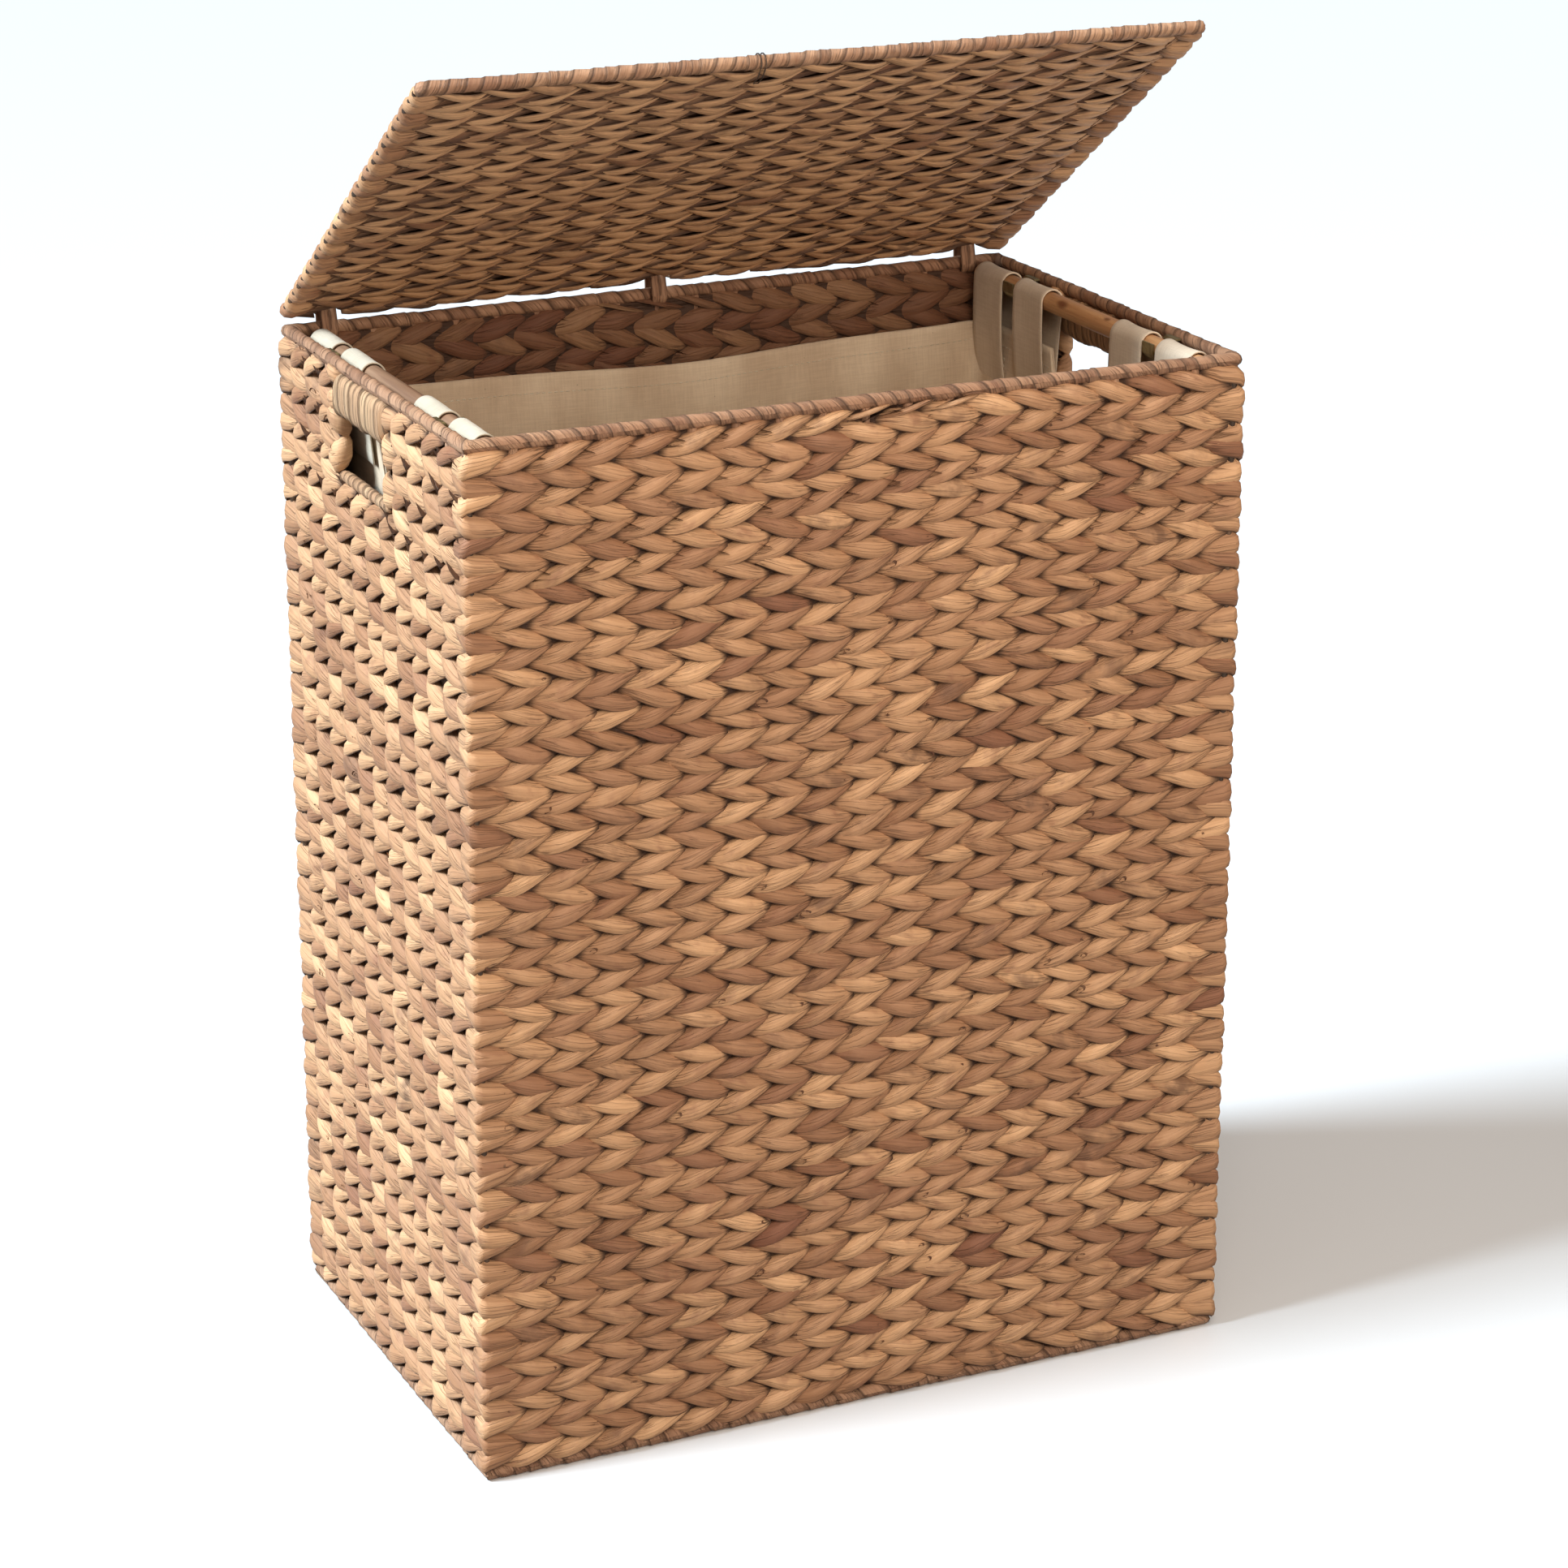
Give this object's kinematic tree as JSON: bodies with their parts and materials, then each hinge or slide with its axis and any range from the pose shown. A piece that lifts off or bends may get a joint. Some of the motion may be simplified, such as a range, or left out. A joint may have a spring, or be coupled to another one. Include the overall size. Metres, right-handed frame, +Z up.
{
  "type": "laundry basket",
  "caption": "Tall rectangular woven laundry basket with hand holes in the short sides, a lid tied to the back rim, and a canvas liner hung from removable wooden rods.",
  "frame": {"origin": "centre of the footprint, on the floor", "axes": "+X along the long side to the right, +Y from the front to the hinged back, +Z up"},
  "size_m": [0.48, 0.305, 0.7927],
  "materials": {
    "weave": "matte",
    "wrap": "matte",
    "canvas": "matte",
    "webbing": "matte",
    "pine": "satin",
    "frame_wire": "satin",
    "hook_metal": "satin"
  },
  "bodies": {
    "basket": {"weave_front": "weave", "weave_back": "weave", "weave_left": "weave", "weave_right": "weave", "weave_base": "weave", "rim_top": "wrap", "rim_bottom": "wrap", "corner_post_front_left": "frame_wire", "corner_post_front_right": "frame_wire", "corner_post_back_left": "frame_wire", "corner_post_back_right": "frame_wire", "handle_grip_left": "wrap", "handle_grip_right": "wrap", "handle_sill_left": "wrap", "handle_sill_right": "wrap", "handle_jamb_left_front": "weave", "handle_jamb_left_back": "weave", "handle_jamb_right_front": "weave", "handle_jamb_right_back": "weave", "hinge_tie_left": "wrap", "hinge_tie_middle": "wrap", "hinge_tie_right": "wrap", "hook_left_front": "hook_metal", "hook_left_back": "hook_metal", "hook_right_front": "hook_metal", "hook_right_back": "hook_metal", "loop_left_1": "webbing", "loop_left_2": "webbing", "loop_left_3": "webbing", "loop_left_4": "webbing", "loop_right_1": "webbing", "loop_right_2": "webbing", "loop_right_3": "webbing", "loop_right_4": "webbing", "liner_bag": "canvas"},
    "lid": {"lid_weave": "weave", "lid_bar_front": "wrap", "lid_bar_rear": "wrap", "lid_wire_left": "frame_wire", "lid_wire_right": "frame_wire", "lid_wire_loop": "frame_wire"},
    "rod_left": {"rod_left": "pine"},
    "rod_right": {"rod_right": "pine"}
  },
  "joints": [
    {"name": "lid_hinge", "type": "hinge", "parent": "basket", "child": "lid", "pos_m": [0, 0.1455, 0.6168], "axis": [-1, 0, 0], "range_deg": [-35.5, 144.5]},
    {"name": "rod_left_roll", "type": "hinge", "parent": "basket", "child": "rod_left", "pos_m": [-0.2175, 0, 0.601], "axis": [0, 1, 0], "continuous": true},
    {"name": "rod_right_roll", "type": "hinge", "parent": "basket", "child": "rod_right", "pos_m": [0.2175, 0, 0.601], "axis": [0, 1, 0], "continuous": true}
  ]
}
